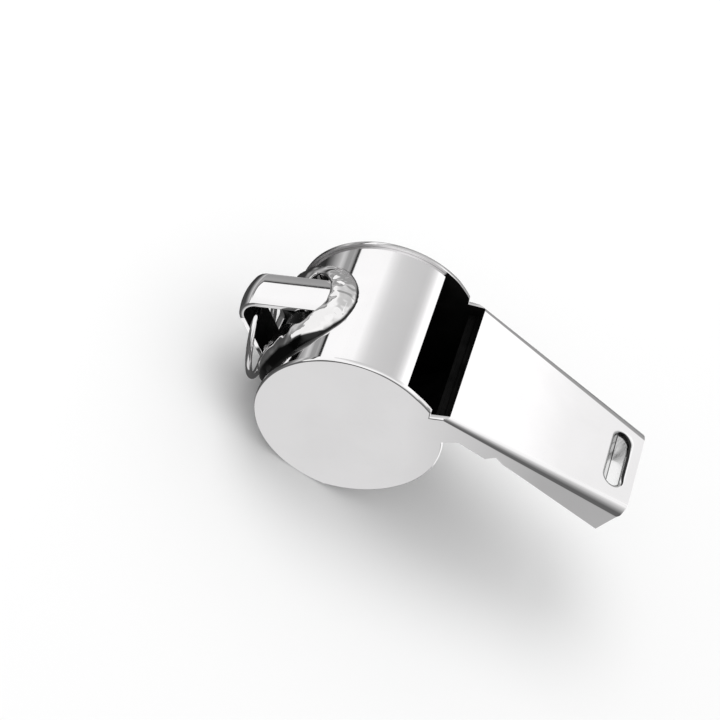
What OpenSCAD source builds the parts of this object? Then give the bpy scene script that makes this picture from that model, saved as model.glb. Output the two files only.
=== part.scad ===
/* [Barrel] */
// Radius of the two round cheeks
cheek_r = 10.5; // [9:0.1:12]
// Width over the two cheeks
body_w = 18.6; // [16:0.1:22]
// Thickness of the folded sheet
sheet_t = 0.55; // [0.45:0.01:0.6]
// How far a cheek's edge stands proud of the barrel wall
rim_stand = 0.35; // [0.2:0.01:0.5]
// Thickness of the barrel wall
wall_t = 0.5; // [0.4:0.01:0.6]
// Angle of the blowing edge, up from the way to the mouth
labium_deg = 82; // [78:1:88]

/* [Mouthpiece] */
// Distance from the barrel's axis to the mouth
mouth_x = 30.4; // [27:0.1:34]
// Width over the sides at the mouth
mouth_w = 12.7; // [11.5:0.1:14]
// Height of the sides at the mouth
mouth_h = 4.95; // [4.7:0.05:5.6]
// How far the lower corner of the mouth is set back
mouth_rake = 0.55; // [0.2:0.05:1]
// Height of the roof above the barrel's axis
roof_z = 9.43; // [9.1:0.01:9.8]
// Distance from the barrel's axis to the roof's front edge at the window
roof_x = 7.35; // [7:0.05:8]
// Distance from the barrel's axis to the line where the sides start to draw in
bend_x = 2.9; // [2:0.1:3.5]
// Outer radius of the folds at the window
fold_neck_r = 0.6; // [0.56:0.01:0.7]
// Outer radius of the folds at the mouth
fold_mouth_r = 1.6; // [1.2:0.05:1.9]
// Height of the air slit at the window
slit_h = 1; // [0.8:0.05:1.2]
// Thickness of the windway floor
floor_t = 0.5; // [0.4:0.01:0.6]
// How far the floor lies above the lower edges of the sides
floor_rise = 0.25; // [0.15:0.01:0.4]
// Distance from the barrel's axis to the crease where the floor starts to fall
floor_crease_x = 14.6; // [14:0.1:16]

/* [Slot] */
// Distance from the mouth to the middle of the slot
slot_back = 2.6; // [2.3:0.05:3.2]
// Width of the slot along the mouthpiece
slot_w = 2.34; // [2:0.02:2.6]
// Length of the slot across the mouthpiece
slot_len = 7.6; // [6.8:0.1:8]
// Thickness of the slot's drawn collar
collar_t = 0.35; // [0.3:0.01:0.45]

/* [Pea] */
// Diameter of the pea
pea_d = 11; // [9.5:0.1:11.5]
// Least gap between the pea and the barrel wall
pea_gap = 0.25; // [0.2:0.01:0.4]

/* [Bail] */
// Width of the strap
bail_w = 5; // [4:0.1:6]
// Thickness of the strap
bail_t = 0.7; // [0.6:0.01:0.8]
// Inner radius of the strap's bend
bail_bend_r = 1.6; // [1.4:0.05:2]
// Angle between straight back and the line where each leg is tangent to the wall
bail_deg = 52; // [50:0.5:54]
// How far each leg stops short of that line
bail_short = 1; // [0.5:0.1:1.5]

/* [Solder] */
// How far the ring of solder stops short of the lines where the legs are tangent, along the wall
bead_short = 1.6; // [1.3:0.01:1.9]
// Half width of the ring of solder
bead_y = 5.6; // [5.2:0.1:6]
// Mean radius of the solder bead
bead_r = 1.3; // [1.1:0.05:1.4]
// Width of the ridge that the beads lie in
ridge_w = 2.2; // [2:0.05:2.4]
// Height of that ridge over the wall
ridge_h = 0.8; // [0.7:0.01:0.9]
// Thickness of the solder spread inside the bead
pool_t = 0.35; // [0.25:0.01:0.45]
// Depth of the solder between a leg and the wall, along the leg
wedge_len = 4; // [3:0.1:4.5]
// Leg of the small seams
seam_leg = 0.45; // [0.3:0.01:0.6]

/* [Ring] */
// Outer diameter of the ring
ring_d = 10.85; // [10.4:0.05:11.4]
// Thickness of the ring's wire
ring_wire = 0.75; // [0.65:0.01:0.8]
// Gap between the butted ends of the ring
ring_butt = 0.1; // [0.05:0.01:0.2]
// How far the ring hangs outward of the middle of the bend
ring_hang = 0.36; // [0.3:0.01:0.4]
// Angle at which the ring lies at rest, down from straight back
ring_rest_deg = 120; // [110:1:122]

/* [Hidden] */
$fn = 96;

// Overrun of every cut
over = 1;
// Least radius inside a fold
fold_least_r = 0.25;
// Flat facets in each half of the strap's bend
bend_facets = 7;

// Widths from the middle plane
half_w = body_w / 2;
mouth_half = mouth_w / 2;

// Radii of the barrel wall
wall_r = cheek_r - rim_stand;
chamber_r = wall_r - wall_t;

// Heights in the mouthpiece
roof_under = roof_z - sheet_t;
floor_top = roof_under - slit_h;
floor_under = floor_top - floor_t;
flange_under = floor_under - wall_t;
mouth_low_z = roof_z - mouth_h;
mouth_low_x = mouth_x - mouth_rake;

// Lower outline of a side from the cheek to the mouth: shares of the distance to the mouth and of
// the roof's height
leave_deg = 32;
tab_x_shares = [0.334, 0.456, 0.482, 0.521];
tab_z_shares = [0.714, 0.68, 0.781, 0.73];
tab = [for (i = [0:3]) [mouth_x * tab_x_shares[i], roof_z * tab_z_shares[i]]];

// Notch in the top outline, between the cheek and the roof
notch_deg = 56;
notch_top_deg = 60;
notch_share = 0.955;
notch = notch_share * cheek_r * [cos(notch_deg), sin(notch_deg)];

// Slot and its collar
slot_x = mouth_x - slot_back;
collar_w = slot_w + 2 * collar_t;
collar_len = slot_len + 2 * collar_t;

// The barrel wall's flange ends inside the tab of the sides
flange_x = tab[1][0] - wall_t;

// Middle of the strap's bend, its legs, and how far it reaches behind the barrel's axis
bail_x = (wall_r - bail_bend_r) / cos(bail_deg);
bail_run = bail_x * sin(bail_deg) - bail_short;
bail_back = bail_x + bail_bend_r + bail_t;

// Half height of the ring of solder, along the wall
bead_arc = wall_r * bail_deg * PI / 180 - bead_short;

// Solder beads in each half of the ring of solder, and how their size varies
bead_steps = 9;
bead_lump_share = 0.12;
bead_turns = 2.5;
bead_plan_step = 7.5;

// Ring: mean radius, and its hinge line across the strap, in the bend
ring_r = (ring_d - ring_wire) / 2;
ring_axis_x = bail_x + ring_hang;
ring_butt_deg = 35;

// The pea rests low in the barrel
pea_orbit = chamber_r - pea_gap - pea_d / 2;

// The origin is the middle of the part's footprint, on the surface it stands on
mid_x = (mouth_x - bail_back) / 2;

function dir(deg) = [cos(deg), sin(deg)];
function draw_in(x) = (half_w - mouth_half) * (x - bend_x) / (mouth_x - bend_x);
function fold_at(x) =
    fold_neck_r + (fold_mouth_r - fold_neck_r) * (x - roof_x) / (mouth_x - roof_x);

// What the fold leaves off the near upper corner at x: three flats, tangent to the fold's round
function trim_section(x) =
    let (
        r = fold_at(x),
        c = [draw_in(x) - half_w + r, roof_z - r],
        p = [for (a = [11.25:22.5:78.75]) c + r / cos(11.25) * [-cos(a), sin(a)]],
        low = 2 * p[0] - p[1],
        high = 2 * p[3] - p[2]
    )
    [for (q = [low, p[1], p[2], high, [high[0], roof_z + over], [low[0] - over, roof_z + over],
        [low[0] - over, low[1]]]) [x, q[0], q[1]]];

// What the fold adds in the near inner corner at x: a flat across it, tangent to the inner round
function fill_section(x) =
    let (
        m = sheet_t / 2,
        y = draw_in(x) - half_w + m,
        z = roof_z - m,
        leg = (2 - sqrt(2)) * max(fold_at(x) - sheet_t, fold_least_r) + 2 * m
    )
    [[x, y, z - leg], [x, y + leg, z], [x, y, z]];

module placed() {
    translate([-mid_x, 0, cheek_r]) children();
}

// A flat outline of the side view, run across the width
module across(width) {
    rotate([90, 0, 0]) translate([0, 0, -width / 2]) linear_extrude(width) children();
}

// Block with the plan of the shell, drawn in from its outer faces by inset
module plan_block(inset) {
    back = cheek_r + over;
    front = mouth_x + over;
    half = half_w - inset;
    far = half - draw_in(front);
    translate([0, 0, -back]) linear_extrude(2 * back)
        polygon([[-back, -half], [bend_x, -half], [front, -far],
            [front, far], [bend_x, half], [-back, half]]);
}

// Solid between two loops of points
module loft(first, last) {
    n = len(first);
    polyhedron(
        points = concat(first, last),
        faces = [
            [for (i = [0:n - 1]) i],
            [for (i = [n - 1:-1:0]) n + i],
            for (i = [0:n - 1]) [(i + 1) % n, i, n + i, n + (i + 1) % n]
        ]
    );
}

// A child and its mirror image on the far side
module both_sides() {
    children();
    mirror([0, 1, 0]) children();
}

// Outline of one cheek and side
module side_outline() {
    difference() {
        circle(cheek_r);
        polygon([notch, [roof_x, roof_z], [roof_x, cheek_r + over],
            (cheek_r + over) * dir(notch_top_deg), cheek_r * dir(notch_top_deg)]);
    }
    polygon([[0, 0], cheek_r * dir(leave_deg), tab[0], tab[1], tab[2], tab[3],
        [mouth_low_x, mouth_low_z], [mouth_x, roof_z], [roof_x, roof_z], notch]);
}

// Underside of the windway floor, moved down by drop, and all that is above it
module above_floor(drop) {
    polygon([[0, floor_under - drop], [floor_crease_x, floor_under - drop],
        [mouth_x, mouth_low_z + floor_rise - drop], [mouth_x, roof_z], [0, roof_z]]);
}

// Plan of the slot, round ended
module slot_plan(width, length) {
    translate([slot_x, 0]) {
        square([width, length - width], center = true);
        for (s = [-1, 1]) translate([0, s * (length - width) / 2]) circle(d = width);
    }
}

module slot_post(top, width, length) {
    linear_extrude(top) slot_plan(width, length);
}

module folded_shell() {
    front = mouth_x + over;
    color("gainsboro") placed() difference() {
        union() {
            intersection() {
                across(body_w + 2 * over) side_outline();
                union() {
                    // Cheeks, sides and roof
                    difference() {
                        plan_block(0);
                        intersection() {
                            plan_block(sheet_t);
                            across(body_w) polygon([[-cheek_r - over, -cheek_r - over],
                                [front, -cheek_r - over], [front, roof_under], [roof_x, roof_under],
                                [roof_x, cheek_r + over], [-cheek_r - over, cheek_r + over]]);
                        }
                    }
                    both_sides() loft(fill_section(roof_x + sheet_t), fill_section(front));
                }
            }
            // Collar of the slot
            intersection() {
                across(body_w) above_floor(floor_rise);
                slot_post(roof_z - sheet_t / 2, collar_w, collar_len);
            }
        }
        both_sides() loft(trim_section(notch[0]), trim_section(front));
        slot_post(roof_z + over, slot_w, slot_len);
    }
}

module barrel_wall() {
    color("silver") placed() intersection() {
        plan_block(sheet_t);
        across(body_w) difference() {
            union() {
                difference() {
                    circle(wall_r);
                    polygon([floor_under / sin(labium_deg) * dir(labium_deg),
                        (cheek_r + over) / sin(labium_deg) * dir(labium_deg),
                        [cheek_r + over, cheek_r + over], [cheek_r + over, floor_under]]);
                }
                translate([0, flange_under]) square([flange_x, wall_t]);
            }
            circle(chamber_r);
        }
    }
}

module windway_floor() {
    color("lightgray") placed() difference() {
        intersection() {
            plan_block(sheet_t);
            across(body_w) intersection() {
                difference() {
                    above_floor(0);
                    above_floor(-floor_t);
                    square([roof_x, roof_z]);
                }
                side_outline();
            }
        }
        slot_post(roof_z, collar_w, collar_len);
    }
}

// Seam in the corner between a cheek and the wall; side is -1 for the near cheek
module cheek_seam(side) {
    intersection() {
        plan_block(sheet_t);
        mirror([0, side > 0 ? 1 : 0, 0]) translate([0, sheet_t - half_w, 0]) rotate([-90, 0, 0])
            rotate_extrude() polygon([[chamber_r - seam_leg, 0], [chamber_r, 0], [chamber_r, seam_leg]]);
        across(body_w) difference() {
            circle(cheek_r);
            polygon([[0, 0], cheek_r / sin(labium_deg) * dir(labium_deg), [cheek_r, cheek_r],
                [cheek_r, flange_under], [chamber_r, 0]]);
        }
    }
}

module cheek_solder_near() {
    color("darkgray") placed() cheek_seam(-1);
}

module cheek_solder_far() {
    color("darkgray") placed() cheek_seam(1);
}

module floor_solder() {
    color("darkgray") placed() difference() {
        intersection() {
            plan_block(sheet_t);
            across(body_w) intersection() {
                difference() {
                    above_floor(floor_rise);
                    above_floor(0);
                    square([tab[3][0], roof_z]);
                }
                side_outline();
            }
        }
        plan_block(sheet_t + seam_leg);
    }
}

module slot_solder() {
    color("darkgray") placed() intersection() {
        across(body_w) difference() {
            above_floor(floor_rise);
            above_floor(0);
        }
        linear_extrude(roof_z) difference() {
            slot_plan(collar_w + 2 * floor_rise, collar_len + 2 * floor_rise);
            slot_plan(collar_w, collar_len);
        }
    }
}

module pea() {
    color("burlywood") placed() translate([0, 0, -pea_orbit]) sphere(d = pea_d);
}

// Outline of the strap: two legs and the bend between them
function bail_line(r) =
    let (end = bail_run * dir(90 - bail_deg) + r * dir(180 - bail_deg))
    concat([end],
        [for (i = [-bend_facets:bend_facets]) r * dir(180 + bail_deg * i / bend_facets)],
        [[end[0], -end[1]]]);

module bail_outline() {
    outer = bail_line(bail_bend_r + bail_t);
    inner = bail_line(bail_bend_r);
    translate([-bail_x, 0])
        polygon(concat(outer, [for (i = [len(inner) - 1:-1:0]) inner[i]]));
}

module bail_strap() {
    color("whitesmoke") placed() across(bail_w) bail_outline();
}

// Outline of the ring of solder seen from behind, moved out by grow
module bead_plan(grow) {
    high = wall_r * sin((bead_arc + grow) / wall_r * 180 / PI);
    polygon([for (t = [0:bead_plan_step:360 - bead_plan_step]) [high * sin(t), (bead_y + grow) * cos(t)]]);
}

// Solder that holds the upper leg
module bail_solder() {
    difference() {
        union() {
            // Lumpy bead round the seat
            for (i = [0:bead_steps])
                let (t = 180 * i / bead_steps,
                    r = bead_r * (1 + bead_lump_share * sin(360 * bead_turns * i / bead_steps)))
                rotate([0, bead_arc * sin(t) / wall_r * 180 / PI, 0])
                    translate([-wall_r, bead_y * cos(t), 0]) sphere(r, $fn = 40);
            // Ridge that the beads lie in
            intersection() {
                across(body_w) circle(wall_r + ridge_h);
                rotate([0, -90, 0]) linear_extrude(cheek_r + over) difference() {
                    bead_plan(ridge_w / 2);
                    bead_plan(-ridge_w / 2);
                }
            }
            // Thin pool inside the bead
            intersection() {
                across(body_w) circle(wall_r + pool_t);
                rotate([0, -90, 0]) linear_extrude(cheek_r + over) bead_plan(0);
            }
            // Wedge between the leg and the wall
            across(bail_w + 2 * pool_t) rotate(90 - bail_deg)
                translate([-wedge_len, wall_r - wedge_len / 4])
                    square([wedge_len, wedge_len / 4 + bail_t / 2]);
        }
        across(body_w) circle(wall_r);
        across(bail_w) bail_outline();
        translate([-2 * cheek_r, -body_w, -2 * cheek_r]) cube([3 * cheek_r, 2 * body_w, 2 * cheek_r]);
    }
}

module bail_solder_top() {
    color("lightgray") placed() bail_solder();
}

module bail_solder_bottom() {
    color("lightgray") placed() mirror([0, 0, 1]) bail_solder();
}

module lanyard_ring() {
    color("silver") placed() translate([-ring_axis_x, 0, 0]) rotate([0, 180 - ring_rest_deg, 0])
        translate([ring_r, 0, 0]) difference() {
            rotate_extrude() translate([ring_r, 0]) circle(d = ring_wire, $fn = 32);
            rotate(ring_butt_deg) translate([ring_r, 0, 0])
                cube([2 * ring_wire, ring_butt, 2 * ring_wire], center = true);
        }
}

folded_shell();
barrel_wall();
windway_floor();
cheek_solder_near();
cheek_solder_far();
floor_solder();
slot_solder();
pea();
bail_strap();
bail_solder_top();
bail_solder_bottom();
lanyard_ring();
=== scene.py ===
import math

import bmesh
import bpy
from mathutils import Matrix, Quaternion, Vector, noise


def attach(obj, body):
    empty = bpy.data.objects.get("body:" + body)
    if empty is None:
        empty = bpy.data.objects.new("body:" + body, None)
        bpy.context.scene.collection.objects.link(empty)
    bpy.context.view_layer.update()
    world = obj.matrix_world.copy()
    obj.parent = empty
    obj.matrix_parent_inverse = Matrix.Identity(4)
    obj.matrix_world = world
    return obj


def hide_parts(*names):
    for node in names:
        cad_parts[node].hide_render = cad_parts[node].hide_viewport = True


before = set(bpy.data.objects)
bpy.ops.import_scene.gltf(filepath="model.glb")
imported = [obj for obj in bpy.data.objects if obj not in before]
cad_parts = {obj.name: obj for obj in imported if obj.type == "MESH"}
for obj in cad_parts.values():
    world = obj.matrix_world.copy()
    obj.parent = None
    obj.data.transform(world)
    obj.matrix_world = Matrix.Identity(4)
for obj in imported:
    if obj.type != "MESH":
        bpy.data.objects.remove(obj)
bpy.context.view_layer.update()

# ---- Shell ---------------------------------------------------------------------------------
# The shell is one blank of sheet steel, folded into the roof of the mouthpiece and both flat
# cheeks. The folds are pressed rounder toward the mouth, the slot is drawn down through the
# roof, and its outside is polished bright and plated. Its inside faces are painted near-black
# as shade. Lengths are in mm from the barrel's axis.
mm = 0.001
to_mm = 1000
axis_x, axis_z = -7.10625, 10.5
barrel_axis = Vector((axis_x, 0, axis_z)) * mm
sheet = 0.55
cheek_radius = 10.5
cheek_half = 9.3
mouth_half = 6.35
bend_x = 2.9
roof_x, mouth_x = 7.35, 30.4
roof_z = 9.43
notch = Vector((5.607, 0, 8.313))
cheek_start, cheek_turn = 60, 332
side_foot = [(10.154, 6.733), (13.862, 6.412), (14.653, 7.365), (15.838, 6.884), (29.85, 4.48)]
window_fold, mouth_fold, far_fold_more, least_fold = 0.6, 1.6, 0.4, 0.25
slot_x, slot_width, slot_length = 27.8, 2.34, 7.6
collar, drawn_in = 0.35, 0.2
collar_foot, floor_slope = 4.53, 0.176
bend_round, rim_round, edge_round = 0.9, 0.22, 0.06
beyond = 12


def half_width(x):
    return cheek_half - (cheek_half - mouth_half) * max(0, x - bend_x) / (mouth_x - bend_x)


def fold_radius(x, y):
    near_fold = window_fold + (mouth_fold - window_fold) * (x - roof_x) / (mouth_x - roof_x)
    return near_fold + (far_fold_more if y > 0 else 0)


def picked(kind, elements):
    """The vertices or faces among what an operator gives back."""
    return [element for element in elements if isinstance(element, kind)]


def swept(bm, vert, centre, axis, angle, steps):
    """Turns a vertex round a centre, and gives the last vertex of the arc."""
    made = bmesh.ops.spin(bm, geom=[vert], cent=centre, axis=axis, angle=angle, steps=steps)
    return picked(bmesh.types.BMVert, made["geom_last"])[0]


def joined(bm, *verts):
    for a, b in zip(verts, verts[1:]):
        bm.edges.new((a, b))


def run_along(bm, faces, move):
    """Runs faces along move as a closed bar, and gives the faces at its far end."""
    run = bmesh.ops.extrude_face_region(bm, geom=faces)["geom"]
    bmesh.ops.translate(bm, verts=picked(bmesh.types.BMVert, run), vec=move)
    return picked(bmesh.types.BMFace, run)


def added(name, data):
    """A new object of the scene."""
    made = bpy.data.objects.new(name, data)
    bpy.context.scene.collection.objects.link(made)
    return made


def built(name, bm):
    """The object of a finished bmesh."""
    mesh = bpy.data.meshes.new(name)
    bm.to_mesh(mesh)
    bm.free()
    return added(name, mesh)


def combined(first, second, operation):
    """Cuts, joins or intersects two closed blanks."""
    blanks = []
    for bm in (first, second):
        bm.normal_update()
        bmesh.ops.recalc_face_normals(bm, faces=bm.faces)
        blanks.append(built("blank", bm))
    cut = blanks[0].modifiers.new("cut", "BOOLEAN")
    cut.object, cut.operation, cut.solver = blanks[1], operation, "EXACT"
    result = bmesh.new()
    result.from_object(blanks[0], bpy.context.evaluated_depsgraph_get())
    for blank in blanks:
        mesh = blank.data
        bpy.data.objects.remove(blank)
        bpy.data.meshes.remove(mesh)
    return result


def plan_block(inset, start, end):
    """Block with the shell's plan and its folds, drawn in by inset, from start to end."""
    bm = bmesh.new()
    for x in (start, end):
        half, top, low = half_width(x) - inset, roof_z - inset, -beyond - inset
        corners = [(x, -half, low), (x, -half, top), (x, half, top), (x, half, low)]
        face = bm.faces.new([bm.verts.new(c) for c in corners])
        for corner in [v for v in face.verts if v.co.z > 0]:
            radius = max(fold_radius(x, corner.co.y) - inset, least_fold)
            bmesh.ops.bevel(
                bm, geom=[corner], affect="VERTICES", offset=radius, segments=12, profile=0.5,
                material=-1,
            )
    bmesh.ops.bridge_loops(bm, edges=bm.edges[:])
    return bm


def cheek_block(inset, end):
    """The same plan behind the folds, at full height."""
    bm = bmesh.new()
    half, back = cheek_half - inset, -beyond - inset
    far = half_width(end) - inset
    near_side = [(back, -half), (bend_x, -half), (end, -far)]
    outline = near_side + [(x, -y) for x, y in reversed(near_side)]
    bm.faces.new([bm.verts.new((x, y, back)) for x, y in outline])
    run_along(bm, bm.faces[:], (0, 0, -2 * back))
    return bm


def side_prism():
    """The outline of a cheek and its side, run across the width."""
    bm = bmesh.new()
    ends = math.radians(cheek_start)
    start = bm.verts.new((cheek_radius * math.cos(ends), -beyond, cheek_radius * math.sin(ends)))
    last = swept(bm, start, (0, 0, 0), (0, -1, 0), math.radians(cheek_turn), 220)
    outline = side_foot + [(mouth_x, roof_z), (roof_x, roof_z), (notch.x, notch.z)]
    joined(bm, last, *[bm.verts.new((x, -beyond, z)) for x, z in outline], start)
    bmesh.ops.contextual_create(bm, geom=bm.edges[:])
    run_along(bm, bm.faces[:], (0, 2 * beyond, 0))
    return bm


def slot_post(grow, top):
    """Bar with the slot's round-ended plan, grown by grow."""
    bm = bmesh.new()
    x, y = slot_width / 2 + grow, slot_length / 2 + grow
    face = bm.faces.new(
        [bm.verts.new((slot_x + i, j, 0)) for i, j in ((-x, -y), (x, -y), (x, y), (-x, y))]
    )
    bmesh.ops.bevel(
        bm, geom=face.verts[:], affect="VERTICES", offset=x, segments=20, profile=0.5, material=-1
    )
    bmesh.ops.remove_doubles(bm, verts=bm.verts, dist=0.01)
    run_along(bm, bm.faces[:], (0, 0, top))
    return bm


def rounded(bm, radius, segments, chosen, held=True, least_angle=32):
    """Rounds the sharp edges that chosen picks. Held keeps short edges from crossing."""
    edges = [
        e for e in bm.edges if len(e.link_faces) == 2
        and e.calc_face_angle() >= math.radians(least_angle) and chosen(e)
    ]
    bmesh.ops.bevel(
        bm, geom=edges, affect="EDGES", offset=radius, segments=segments, profile=0.5,
        clamp_overlap=held, material=-1,
    )


def on_lip(edge):
    return all(
        abs(v.co.z - roof_z) < 0.01 and abs(v.co.x - slot_x) < 1.3 and abs(v.co.y) < 4
        for v in edge.verts
    )


def on_bend(edge):
    return edge.calc_length() > 3 and all(abs(v.co.x - bend_x) < 0.01 for v in edge.verts)


def on_collar(edge):
    return all(
        abs(v.co.x - slot_x) < 2 and abs(v.co.y) < 5 and v.co.z > 8.4 for v in edge.verts
    )


def on_rim(edge):
    return all(abs(v.co.y) > half_width(v.co.x) - 0.1 for v in edge.verts)


def placed(bm, name, body, slot, *nodes):
    """Sets a finished blank on the barrel's axis, in metres, as a piece that stands for nodes."""
    bmesh.ops.scale(bm, verts=bm.verts, vec=(mm, mm, mm))
    bmesh.ops.translate(bm, verts=bm.verts, vec=barrel_axis)
    piece = built(name, bm)
    piece.data.shade_smooth()
    piece.data.set_sharp_from_angle(angle=math.radians(40))
    even = piece.modifiers.new("even", "WEIGHTED_NORMAL")
    even.keep_sharp = True
    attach(piece, body)
    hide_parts(*nodes)
    return piece


def gray(level):
    return (level, level, level, 1)


class Signal:
    """A socket of a shader, on which sums are written as Python expressions."""

    def __init__(self, tree, socket=None):
        self.tree, self.socket = tree, socket

    def node(self, kind, settings, sockets, output=0):
        made = self.tree.nodes.new(kind)
        stops = settings.pop("stops", [])
        for key, value in settings.items():
            setattr(made, key, value)
        for i, (place, level) in enumerate(stops):
            ramp = made.color_ramp.elements
            stop = ramp[i] if i < 2 else ramp.new(place)
            stop.position, stop.color = place, gray(level)
        for key, value in sockets.items():
            if isinstance(value, Signal):
                self.tree.links.new(value.socket, made.inputs[key])
            else:
                made.inputs[key].default_value = value
        return Signal(self.tree, made.outputs[output]) if made.outputs else None

    def maths(self, operation, first, second):
        return self.node("ShaderNodeMath", {"operation": operation}, {0: first, 1: second})

    def __add__(self, other):
        return self.maths("ADD", self, other)

    def __radd__(self, other):
        return self.maths("ADD", other, self)

    def __sub__(self, other):
        return self.maths("SUBTRACT", self, other)

    def __rsub__(self, other):
        return self.maths("SUBTRACT", other, self)

    def __mul__(self, other):
        return self.maths("MULTIPLY", self, other)

    def __rmul__(self, other):
        return self.maths("MULTIPLY", other, self)

    def __truediv__(self, other):
        return self.maths("DIVIDE", self, other)

    def __rtruediv__(self, other):
        return self.maths("DIVIDE", other, self)

    def clamped(self):
        return self.node("ShaderNodeClamp", {}, {0: self})

    def rise(self, start, end):
        """Goes from 0 to 1 while this signal goes from start to end, and stays level beyond."""
        return self.node(
            "ShaderNodeMapRange", {}, {"Value": self, "From Min": start, "From Max": end}
        )

    def ramp(self, *stops):
        """Grays at places from 0 to 1, even between them."""
        return self.node("ShaderNodeValToRGB", {"stops": list(stops)}, {0: self})

    def mixed(self, first, second):
        """Mixes two colours by this signal. The numbers are the node's sockets for colours."""
        return self.node(
            "ShaderNodeMix", {"data_type": "RGBA"}, {0: self, 6: first, 7: second}, 2
        )

    def axis(self, letter):
        return self.node("ShaderNodeSeparateXYZ", {}, {"Vector": self}, letter)

    def vector(self, operation, sockets, output="Vector"):
        return self.node("ShaderNodeVectorMath", {"operation": operation}, sockets, output)

    def clouds(self, scale, detail):
        return self.node(
            "ShaderNodeTexNoise", {}, {"Vector": self, "Scale": scale, "Detail": detail}
        )

    def bump(self, strength, distance):
        return self.node(
            "ShaderNodeBump", {}, {"Strength": strength, "Distance": distance, "Height": self}
        )

    def surface(self):
        return self.node("ShaderNodeTexCoord", {}, {}, "Object")

    def coat(self, sockets):
        return self.node("ShaderNodeBsdfPrincipled", {}, sockets)

    def between(self, first, second):
        """Mixes two shaders by this signal."""
        return self.node("ShaderNodeMixShader", {}, {0: self, 1: first, 2: second})

    def output(self, kind="ShaderNodeOutputMaterial"):
        self.node(kind, {}, {"Surface": self})


def new_finish(name):
    material = bpy.data.materials.new(name)
    material.use_nodes = True
    material.node_tree.nodes.clear()
    return material, Signal(material.node_tree)


def dressed(piece, *finishes):
    for finish in finishes:
        piece.data.materials.append(finish)


def off_axis(surface):
    """How far a place is from the barrel's axis, in mm."""
    arm = surface.vector("SUBTRACT", {0: surface, 1: barrel_axis})
    arm = surface.vector("MULTIPLY", {0: arm, 1: (1, 0, 1)})
    return surface.vector("LENGTH", {0: arm}, "Value") * to_mm


plate_bright, plate_hazy = (0.965, 0.955, 0.96, 1), (0.94, 0.93, 0.935, 1)
plate_soft = (0.95, 0.94, 0.945, 1)


def polished(name, bright, hazy, rough):
    """Plated steel: a faint haze, hairline scratches from the polishing mop, and fine ripple."""
    material, s = new_finish(name)
    surface = s.surface()
    haze = surface.clouds(190, 4).ramp((0.42, 0), (0.68, 1))
    mop = s.node("ShaderNodeMapping", {}, {
        "Vector": surface, "Scale": (220, 5200, 5200), "Rotation": (0, 0.35, 0.2),
    })
    hairs = mop.clouds(1, 2)
    scratch = hairs.ramp((0.60, 0), (0.70, 1))
    ripple = surface.clouds(260, 1) + hairs * 0.02
    s.coat({
        "Base Color": haze.mixed(bright, hazy), "Metallic": 1,
        "Roughness": rough + haze * rough + scratch * rough * 1.5,
        "Normal": ripple.bump(1, 0.003 * mm),
    }).output()
    return material


def painted_dark_inside(name, dark, light, plated_rim=False):
    """Inside faces, as rolled, painted near-black as shade. A rim outside the wall is plated."""
    material, s = new_finish(name)
    surface = s.surface()
    stain = surface.clouds(420, 6)
    grain = surface.clouds(5200, 2)
    metal = s.coat({
        "Base Color": stain.ramp((0.35, 0), (0.7, 1)).mixed(dark, light), "Metallic": 0.3,
        "Specular IOR Level": 0.1, "Roughness": 0.5 + stain * 0.2,
        "Normal": grain.bump(0.4, 0.02 * mm),
    })
    if plated_rim:
        east = surface.axis("X") * to_mm
        rim = off_axis(surface).rise(10.04, 10.24) * east.rise(-5.7, -5.9)
        plated = s.coat({"Base Color": plate_soft, "Metallic": 1, "Roughness": 0.4})
        metal = rim.between(metal, plated)
    metal.output()
    return material


def slot_painted_light(name):
    """Steel of the slot's drawn edge, with light and shade painted in: a painted highlight on the
    lip over a painted dark band of shade, which widens toward the far cheek. On the barrel's side
    it is painted bright, with a painted dark line of shade along its foot."""
    material, s = new_finish(name)
    surface = s.surface()
    depth = axis_z + roof_z - surface.axis("Z") * to_mm
    north = surface.axis("Y") * to_mm
    across = surface.axis("X") * to_mm - (axis_x + slot_x)
    fold = across - depth * 0.49
    # The wall below the lip is painted bright, with a painted dark line of shade along its foot.
    painted_foot_shade = fold.rise(-2.5, 2.5).ramp((0.326, 0.78), (0.332, 0.03), (0.35, 0.03), (0.356, 1))
    painted_foot_shade = depth.rise(0.1, 0.225).mixed(gray(0.9), painted_foot_shade)
    reach = (0.28 + north.rise(1, 3.5) * 0.5) * north.rise(-3.5, -1.833) + 0.001
    # The lip is a painted highlight over a painted dark band of shade.
    painted_lip_light = (depth / reach).ramp((0.1, 0.97), (0.18, 0.03), (0.85, 0.05), (1, 0.98))
    tone = fold.rise(-0.74, -0.7067).mixed(painted_foot_shade, painted_lip_light)
    s.coat({"Base Color": tone, "Metallic": 1, "Roughness": 0.25}).output()
    return material


bright_steel = polished("bright_steel", plate_bright, plate_hazy, 0.03)
# The near-black finish of the inside faces is painted shade.
painted_shade_steel = painted_dark_inside("painted_shade_steel", gray(0.003), (0.01, 0.0095, 0.0095, 1), plated_rim=True)

outside = combined(cheek_block(0, notch.x), plan_block(0, notch.x, mouth_x + 1), "UNION")
inside = combined(cheek_block(sheet, roof_x), plan_block(sheet, roof_x, mouth_x + 1.6), "UNION")
shell = combined(combined(outside, inside, "DIFFERENCE"), side_prism(), "INTERSECT")
sleeve = combined(
    slot_post(collar, roof_z - sheet / 2), slot_post(-drawn_in, beyond), "DIFFERENCE"
)
bmesh.ops.bisect_plane(
    sleeve, geom=sleeve.verts[:] + sleeve.edges[:] + sleeve.faces[:],
    plane_co=(mouth_x, 0, collar_foot), plane_no=(floor_slope, 0, 1), clear_inner=True,
)
bmesh.ops.bridge_loops(sleeve, edges=[e for e in sleeve.edges if e.is_boundary])
shell = combined(shell, sleeve, "UNION")
shell = combined(shell, slot_post(-drawn_in, beyond), "DIFFERENCE")
bmesh.ops.remove_doubles(shell, verts=shell.verts, dist=0.002)
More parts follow.
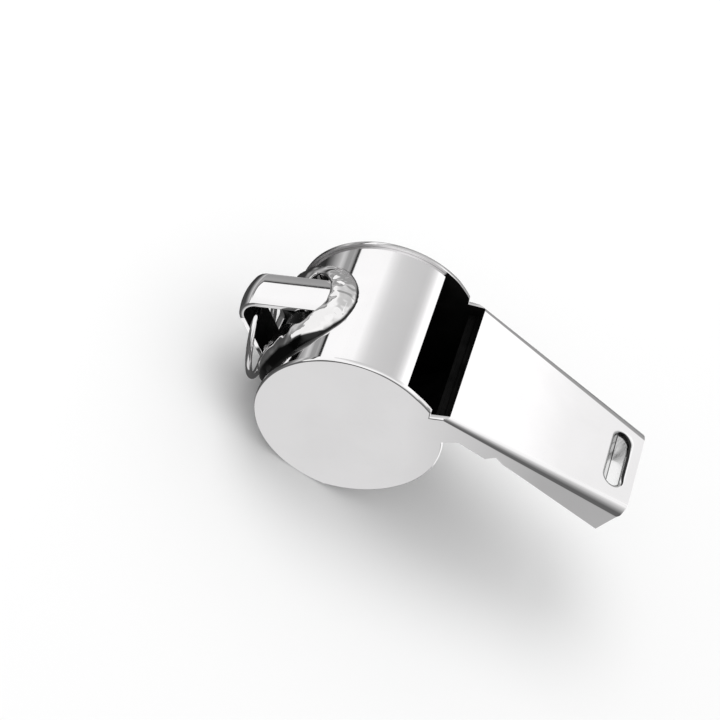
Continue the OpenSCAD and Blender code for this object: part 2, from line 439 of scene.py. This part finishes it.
bmesh.ops.dissolve_limit(shell, angle_limit=0.002, verts=shell.verts, edges=shell.edges)
rounded(shell, sheet, 7, on_lip, held=False)
rounded(shell, bend_round, 4, on_bend, least_angle=0)
rounded(shell, rim_round, 4, lambda e: on_rim(e) and not on_collar(e), held=False)
rounded(shell, edge_round, 4, lambda e: not on_rim(e) and not on_collar(e))
inner = sheet - 0.12
# Faces inside the sheet take the near-black finish, which is painted shade; the slot's upright
# faces take painted light and shade.
for face in shell.faces:
    at = face.calc_center_median()
    within = abs(at.y) < half_width(at.x) - inner and at.z < roof_z - inner
    in_slot = abs(at.x - slot_x) < slot_width / 2 + 0.4 and abs(at.y) < slot_length / 2 + 0.4
    upright = abs(face.normal.z) < 0.97
    face.material_index = 2 if in_slot and upright else int(within)
shell_piece = placed(shell, "shell_sheet", "body", "plated_sheet", "folded_shell")
dressed(shell_piece, bright_steel, painted_shade_steel, slot_painted_light("slot_painted_light_steel"))

# ---- Barrel wall ---------------------------------------------------------------------------
# A strip of sheet steel, a little thinner than the shell, rolled round between the cheeks and
# soldered from the inside. One end is the blowing edge at the window, and the other a flange
# under the mouthpiece. Its outside is polished bright, and its inside and the flange are as
# rolled and painted near-black as shade.
wall_outer, wall_inner = 10.15, 9.65
blowing_edge = 82
flange_z, flange_start, flange_end, flange_t = 6.88, 6.9, 13.362, 0.5
bite, past_flange = 0.02, 20

strip = bmesh.new()
lean = math.radians(blowing_edge)
edge_ends = [
    strip.verts.new((r * math.cos(lean), -cheek_half, r * math.sin(lean)))
    for r in (wall_inner, wall_outer)
]
joined(strip, *edge_ends)
wall_turn = 360 - blowing_edge + math.degrees(math.asin((flange_z + flange_t) / wall_outer))
bmesh.ops.spin(
    strip, geom=edge_ends + strip.edges[:], cent=(0, 0, 0), axis=(0, -1, 0),
    angle=math.radians(wall_turn), steps=210,
)
run_along(strip, strip.faces[:], (0, 2 * cheek_half, 0))
flange = bmesh.new()
bmesh.ops.create_cube(flange, size=1)
bmesh.ops.scale(
    flange, verts=flange.verts, vec=(flange_end - flange_start, 2 * cheek_half, flange_t)
)
bmesh.ops.translate(
    flange, verts=flange.verts, vec=((flange_start + flange_end) / 2, 0, flange_z + flange_t / 2)
)
strip = combined(strip, flange, "UNION")
wall = combined(strip, cheek_block(sheet - bite, past_flange), "INTERSECT")
bmesh.ops.remove_doubles(wall, verts=wall.verts, dist=0.002)
rounded(wall, 0.05, 2, lambda e: True)
for face in wall.faces:
    at = face.calc_center_median()
    on_flange = at.x > flange_start - 0.5 and at.z > flange_z - 0.2
    face.material_index = int(on_flange or Vector((at.x, at.z)).length < wall_inner + 0.1)
wall_piece = placed(wall, "wall_strip", "body", "plated_sheet", "barrel_wall")
dressed(wall_piece, bright_steel, painted_shade_steel)

# ---- Windway floor -------------------------------------------------------------------------
# A plate with one crease, soldered in under the roof. It climbs from the mouth and levels
# before the window, so that the air leaves in a thin sheet. It is as rolled, and painted
# near-black as shade.
floor_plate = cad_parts["windway_floor"]
floor_plate.data.materials.clear()
dressed(floor_plate, painted_shade_steel)

# ---- Seams ---------------------------------------------------------------------------------
# Soft solder, run along the corners inside the barrel, under the windway floor, and where the
# slot's collar comes through it. It sets gray and slightly grainy.
seam_solder, s = new_finish("seam_solder")
crust = s.surface().clouds(2600, 5)
crust_tone = crust.ramp((0.3, 0), (0.7, 1)).mixed((0.42, 0.42, 0.43, 1), (0.62, 0.62, 0.63, 1))
s.coat({
    "Base Color": crust_tone, "Metallic": 1, "Roughness": 0.28 + crust * 0.25,
    "Normal": crust.bump(0.5, 0.05 * mm),
}).output()
for name in ("cheek_solder_near", "cheek_solder_far", "floor_solder", "slot_solder"):
    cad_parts[name].data.materials.clear()
    dressed(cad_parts[name], seam_solder)

# ---- Pea -----------------------------------------------------------------------------------
# A ball turned from cork, loose in the barrel. It is tan, with darker pores and small pits, and
# slightly uneven from its wear.
pea_radius, pea_gap = 5.5, 0.25
pit_depth, wear_depth = 0.9, 0.06
cork_dark, cork_light = (0.46, 0.29, 0.15, 1), (0.60, 0.41, 0.23, 1)
pore_brown = (0.17, 0.09, 0.04, 1)

ball = bmesh.new()
bmesh.ops.create_icosphere(ball, subdivisions=6, radius=pea_radius)
for vert in ball.verts:
    out = vert.co.normalized()
    pit = max(0, noise.noise(out * 9 + Vector((4, 1, 7))) - 0.32)
    worn = 0.5 + 0.5 * noise.noise(out * 2.2)
    vert.co -= out * (pit_depth * pit + wear_depth * worn)
bmesh.ops.translate(ball, verts=ball.verts, vec=(0, 0, pea_radius + pea_gap - wall_inner))
pea_piece = placed(ball, "pea_cork", "pea", "cork", "pea")
cork, s = new_finish("cork_grain")
surface = s.surface()
cells = s.node("ShaderNodeTexVoronoi", {}, {"Vector": surface, "Scale": 900})
pore = surface.clouds(1100, 5).ramp((0.56, 0), (0.66, 1))
s.coat({
    "Base Color": pore.mixed(cells.mixed(cork_dark, cork_light), pore_brown),
    "Roughness": 0.75 + pore * 0.2, "Normal": (cells - pore * 0.6).bump(0.6, 0.1 * mm),
}).output()
dressed(pea_piece, cork)

# ---- Bail strap ----------------------------------------------------------------------------
# A strip of steel, crowned outside, bent in a V and set tangent to the barrel's wall above and
# below. It is polished outside. Its inside face is painted near-black as shade.
strap_half, strap_t, strap_bend, strap_short = 2.5, 0.78, 1.6, 1
strap_angle = 52
crown_y, crown_r = -0.5, 9
bend_back = (wall_outer - strap_bend) / math.cos(math.radians(strap_angle))
leg_run = bend_back * math.sin(math.radians(strap_angle)) - strap_short

strap = bmesh.new()
tip = math.radians(90 - strap_angle)
leg, lift = Vector((math.cos(tip), 0, math.sin(tip))), Vector((-math.sin(tip), 0, math.cos(tip)))
low_leg, low_lift = (Vector((way.x, 0, -way.z)) for way in (leg, lift))
bend = Vector((-bend_back, 0, 0))
leg_end = bend + lift * strap_bend + leg * leg_run
near_tilt, far_tilt = (math.asin((y - crown_y) / crown_r) for y in (-strap_half, strap_half))
near_top = strap_t - crown_r * (1 - math.cos(near_tilt))
near = strap.verts.new(leg_end + lift * near_top + Vector((0, -strap_half, 0)))
crown_centre = leg_end + lift * (strap_t - crown_r) + Vector((0, crown_y, 0))
far = swept(strap, near, crown_centre, leg, near_tilt - far_tilt, 14)
low = [strap.verts.new(leg_end + Vector((0, y, 0))) for y in (strap_half, -strap_half)]
joined(strap, far, *low, near)
section = bmesh.ops.contextual_create(strap, geom=strap.edges[:])["faces"]
front = run_along(strap, section, -leg * leg_run)[0]
turn = bmesh.ops.spin(
    strap, geom=[front] + front.edges[:] + front.verts[:], cent=bend, axis=(0, -1, 0),
    angle=math.radians(2 * strap_angle), steps=24,
)
run_along(strap, picked(bmesh.types.BMFace, turn["geom_last"]), low_leg * leg_run)
bmesh.ops.remove_doubles(strap, verts=strap.verts, dist=0.001)
strap.normal_update()
bmesh.ops.recalc_face_normals(strap, faces=strap.faces)
rounded(strap, 0.09, 3, lambda e: True)
for face in strap.faces:
    at = face.calc_center_median()
    from_bend = at - bend
    if from_bend.dot(leg if at.z > 0 else low_leg) < 0:
        outward = Vector((from_bend.x, from_bend.z)).length
    else:
        outward = from_bend.dot(lift if at.z > 0 else low_lift)
    face.material_index = int(outward < strap_bend + 0.05)
strap_piece = placed(strap, "bail_strip", "body", "plated_sheet", "bail_strap")
# The strap's inside face is painted near-black as shade.
strap_painted_shade_steel = painted_dark_inside("strap_painted_shade_steel", gray(0.006), (0.02, 0.019, 0.019, 1))
dressed(strap_piece, bright_steel, strap_painted_shade_steel)

# ---- Bail solder ---------------------------------------------------------------------------
# Hard solder, laid round the strap's two legs and plated with the rest. It ran into the corner
# under the strap as a pool, which is painted dark as shade, and stands up round it in a broad
# soft bead. At the ends of the strap it laps over the steel.
pool_half, pool_arc, pool_run = 7.0, 9.05, 7.6
bead_height, bead_run, bead_fullness = 1.4, 3.2, 4.5
pool_height, shore_half, shore_side, shore_back = 0.12, 0.35, 2.5, 2
lap_height, lap_start, lap_end = 0.25, 5.6, 7.2
slow_lumps, fast_lumps = 0.3, 0.12
buried, edge_sunk, margin = 0.3, 0.15, 0.25


def share(value):
    return min(1, max(0, value))


def step_up(value, low, high):
    part = share((value - low) / (high - low))
    return part * part * (3 - 2 * part)


solder = bmesh.new()
bmesh.ops.create_grid(solder, x_segments=150, y_segments=190, size=1)
under = {vert for face in run_along(solder, solder.faces[:], (0, 0, 0)) for vert in face.verts}
for vert in solder.verts:
    y, arc = vert.co.x * (pool_half + margin), vert.co.y * (pool_arc + margin)
    uneven = noise.noise(Vector((y * 0.35, arc * 0.35, 3.7)))
    inward = (1 - math.hypot(y / pool_half, arc / pool_arc) - 0.02 * uneven) * pool_run
    lap = step_up(abs(arc), lap_start, lap_end)
    bead = bead_height * (1 - (1 - share(inward / bead_run)) ** bead_fullness)
    shore = shore_side + shore_back * step_up(4.2 - abs(arc), 0, 2.8)
    dip = step_up(inward, shore - shore_half, shore + shore_half) * (1 - lap)
    height = bead * (1 - dip) + pool_height * dip + lap * lap_height * step_up(inward, 0.6, 2.2)
    lumps = noise.noise(Vector((y * 0.6, arc * 0.6, 8.2))) * slow_lumps
    lumps += noise.noise(Vector((y * 1.5, arc * 1.5, 1.1))) * fast_lumps * (0.3 + lap)
    height += lumps * (1 - dip) * min(1, height)
    if inward <= 0:
        height = -edge_sunk
    radius = wall_outer - buried if vert in under else wall_outer + height
    round_wall = arc / wall_outer
    vert.co = (-radius * math.cos(round_wall), y, radius * math.sin(round_wall))
solder.normal_update()
bmesh.ops.recalc_face_normals(solder, faces=solder.faces)
solder_piece = placed(
    solder, "bail_beads", "body", "solder", "bail_solder_top", "bail_solder_bottom"
)
bright_solder, s = new_finish("bright_solder")
surface = s.surface()
clean = surface.clouds(900, 3)
grit = surface.clouds(3600, 3)
east = surface.axis("X") * to_mm
south = 0 - surface.axis("Y") * to_mm
up = surface.axis("Z") * to_mm - axis_z
height = off_axis(surface) - wall_outer
gritty = east.rise(-14.33, -13.22) * clean.ramp((0.4, 0), (0.55, 1))
# Painted shade fills an oval under the strap, and a line along the low foot of the bead.
under_strap_shade = (8 - south * south * 0.36 - up * up * 0.2).clamped()
painted_shade_mask = (1.6 + south.rise(4.6, 5.6) * 3 - height * 5 + clean + under_strap_shade * 4).clamped()
bead_tone = clean.mixed((0.96, 0.95, 0.95, 1), (0.88, 0.87, 0.87, 1))
s.coat({
    "Base Color": painted_shade_mask.mixed(bead_tone, gray(0.03)), "Metallic": 1,
    "Roughness": 0.05 + gritty * 0.08 + painted_shade_mask * 0.1,
    "Normal": (clean * 0.25 + gritty * grit).bump(1, 0.03 * mm),
}).output()
dressed(solder_piece, bright_solder)

# ---- Lanyard ring --------------------------------------------------------------------------
# Hard steel wire, coiled round and butted, hung in the strap's bend. It is plated, and its gap
# stays open by a hair.
wire_radius, ring_across = 0.375, 10.85
ring_radius = ring_across / 2 - wire_radius
ring_hang, ring_tilt = 0.36, 60
butt_at, butt_gap = 35, 0.1
butt = math.degrees(butt_gap / ring_radius)


def turned(bm, axis, degrees):
    bmesh.ops.rotate(
        bm, verts=bm.verts, cent=(0, 0, 0),
        matrix=Quaternion(axis, math.radians(degrees)).to_matrix(),
    )


wire = bmesh.new()
bmesh.ops.create_circle(wire, cap_ends=True, segments=28, radius=wire_radius)
turned(wire, (1, 0, 0), 90)
bmesh.ops.translate(wire, verts=wire.verts, vec=(ring_radius, 0, 0))
turned(wire, (0, 0, 1), butt_at + butt / 2)
bmesh.ops.spin(
    wire, geom=wire.verts[:] + wire.edges[:] + wire.faces[:], cent=(0, 0, 0), axis=(0, 0, 1),
    angle=math.radians(360 - butt), steps=168,
)
bmesh.ops.remove_doubles(wire, verts=wire.verts, dist=0.0005)
bmesh.ops.translate(wire, verts=wire.verts, vec=(ring_radius, 0, 0))
turned(wire, (0, 1, 0), ring_tilt)
bmesh.ops.translate(wire, verts=wire.verts, vec=(-bend_back - ring_hang, 0, 0))
bmesh.ops.recalc_face_normals(wire, faces=wire.faces)
ring_piece = placed(wire, "ring_wire", "ring", "steel_wire", "lanyard_ring")
dressed(ring_piece, polished("bright_wire", plate_soft, (0.88, 0.87, 0.875, 1), 0.05))

# ---- Table ---------------------------------------------------------------------------------
# A plain pale table top, wide and seamless. It takes the whistle's soft shadow. In the metal it
# glows instead with a painted reflection, laid out as a table by a window looks: bright beside
# and under the whistle, and painted dark as shade farther off.
table = bmesh.new()
bmesh.ops.create_grid(table, x_segments=1, y_segments=1, size=3)
table_top = built("table_top", table)


def glowing(tone):
    """A surface that sends out tone, and throws back no light."""
    return tone.coat({
        "Base Color": gray(0), "Specular IOR Level": 0,
        "Emission Color": tone, "Emission Strength": 1,
    })


table_finish, s = new_finish("table_finish")
place = s.surface()
east, north = place.axis("X") * to_mm, place.axis("Y") * to_mm
away = place.vector("LENGTH", {0: place}, "Value") * to_mm
# Beside is a strip along the near cheek, and under is the patch below the mouthpiece.
near = east.rise(-25, 25).ramp((0.0, 0.72), (0.62, 0.72), (1.0, 0.43))
far = away.rise(0, 200).ramp((0.0, 0.02), (0.2, 0.03), (0.3, 0.3), (0.5, 0.6), (1.0, 0.32))
far = east.rise(60, 110).mixed(far, gray(0.03))
far = north.rise(-25, 25).mixed(gray(0.12), far)
beside = north.rise(-38, -34.67) * north.rise(-8.5, -9.5)
beside = beside * away.rise(114.3, 42.86) * east.rise(-21.02, -18.02)
under = east.rise(0, 10) * north.rise(-5, 0)
under = under + east.rise(15, 17.5) * north.rise(-17.67, -14.33)
under = (under * north.rise(31.25, 18.75)).clamped()
# Glossy rays see this glowing pattern of painted light and shade; the camera sees the matt table.
shown = under.mixed(beside.mixed(far, near), gray(1))
matt = s.node("ShaderNodeBsdfDiffuse", {}, {"Color": gray(0.86)})
glossy = s.node("ShaderNodeLightPath", {}, {}, "Is Glossy Ray")
glossy.between(matt, glowing(shown)).output()
dressed(table_top, table_finish)

# ---- Light ---------------------------------------------------------------------------------
# A white tent over the table with one large soft lamp, and a gray card over the barrel, which
# the polished metal shows. The tent stops above the table, and it is open and dim at the front.
card_size, card_place = Vector((160, 70, 0)) * mm, Vector((3, 42, 62.5)) * mm

card = bmesh.new()
bmesh.ops.create_grid(card, x_segments=1, y_segments=1, size=0.5)
bmesh.ops.scale(card, verts=card.verts, vec=card_size)
bmesh.ops.translate(card, verts=card.verts, vec=card_place)
gray_card = built("gray_card", card)
gray_card.visible_camera = gray_card.visible_diffuse = gray_card.visible_shadow = False
gray_card.visible_transmission = gray_card.visible_volume_scatter = False
card_finish, s = new_finish("card_finish")
place = s.surface()
east, north = place.axis("X") * to_mm, place.axis("Y") * to_mm
# The card glows with a painted ramp of light and shade, which only the metal's reflections see.
tone = east.rise(-50, 50).ramp(
    (0.0, 0.99), (0.1, 0.82), (0.19, 0.68), (0.27, 0.63), (0.34, 0.61), (0.50, 0.58), (0.55, 0.63),
    (0.605, 0.82), (0.645, 1.08), (0.70, 1.1), (0.78, 1.04), (0.84, 0.92), (0.95, 0.88),
)
clear = s.node("ShaderNodeBsdfTransparent", {}, {})
soft_edge = north.rise(5, 21.67) * north.rise(73.33, 56.67)
soft_edge.between(clear, glowing(tone)).output()
dressed(gray_card, card_finish)

world = bpy.data.worlds.new("tent")
bpy.context.scene.world = world
world.use_nodes = True
world.node_tree.nodes.clear()
s = Signal(world.node_tree)
way = s.node("ShaderNodeTexCoord", {}, {}, "Generated")
east, north, up = (way.axis(letter) for letter in "XYZ")
# Each side of the tent is a ramp over the height, from straight down to straight up.
level = up * 0.5 + 0.5
lifted = level - east.rise(-0.7, -0.5) * 0.055
behind = lifted.ramp(
    (0.0, 0.35), (0.51, 0.38), (0.527, 0.25), (0.534, 0.03), (0.553, 0.02), (0.557, 1.0)
)
screen = level.ramp((0.0, 0.3), (0.5, 0.33), (0.82, 0.34), (0.835, 0.97))
before = level.ramp((0.0, 0.12), (0.56, 0.12), (0.72, 0.30), (0.87, 0.6), (0.965, 0.93))
beside = level.ramp((0.0, 0.04), (0.63, 0.04), (0.69, 0.9), (0.8, 1.0))
before = east.rise(0.0333, -0.1333).mixed(before, beside)
rear = east.rise(-0.4667, -0.3833).mixed(behind, screen)
shown = north.rise(-0.3, 0.2).mixed(before, rear)
aside = s.node("ShaderNodeMath", {"operation": "ABSOLUTE"}, {0: north})
shown = (0 - east * 4 - aside * 6).clamped().mixed(shown, gray(0.95))
glossy = s.node("ShaderNodeLightPath", {}, {}, "Is Glossy Ray")
tent = glossy.mixed(gray(0.9), shown)
s.node("ShaderNodeBackground", {}, {"Color": tent, "Strength": 1}).output("ShaderNodeOutputWorld")

soft = bpy.data.lights.new("soft_lamp", "AREA")
soft.shape, soft.size, soft.energy = "DISK", 0.25, 0.5
soft_lamp = added("soft_lamp", soft)
soft_lamp.location = (-0.12, 0.10, 0.35)
soft_lamp.rotation_mode = "QUATERNION"
soft_lamp.rotation_quaternion = soft_lamp.location.to_track_quat("Z", "Y")
soft_lamp.visible_glossy = False

# ---- Camera --------------------------------------------------------------------------------
# A long lens, held above and in front of the barrel and turned, so that the mouthpiece points
# down to the right, as the photograph has it.
eye = Vector((-77.8416, -190.4752, 219.4380)) * mm
azimuth, elevation, roll = (math.radians(angle) for angle in (20.0183, 45.8266, 47.1298))

camera = bpy.data.cameras.new("camera")
camera.sensor_width, camera.lens = 36, 131.769
camera.clip_start, camera.clip_end = 0.01, 10
viewer = added("viewer", camera)
level = math.cos(elevation)
ahead = Vector((math.sin(azimuth) * level, math.cos(azimuth) * level, -math.sin(elevation)))
viewer.location = eye
viewer.rotation_mode = "QUATERNION"
viewer.rotation_quaternion = ahead.to_track_quat("-Z", "Y") @ Quaternion((0, 0, 1), roll)
bpy.context.scene.camera = viewer
bpy.context.scene.view_settings.view_transform = "Standard"
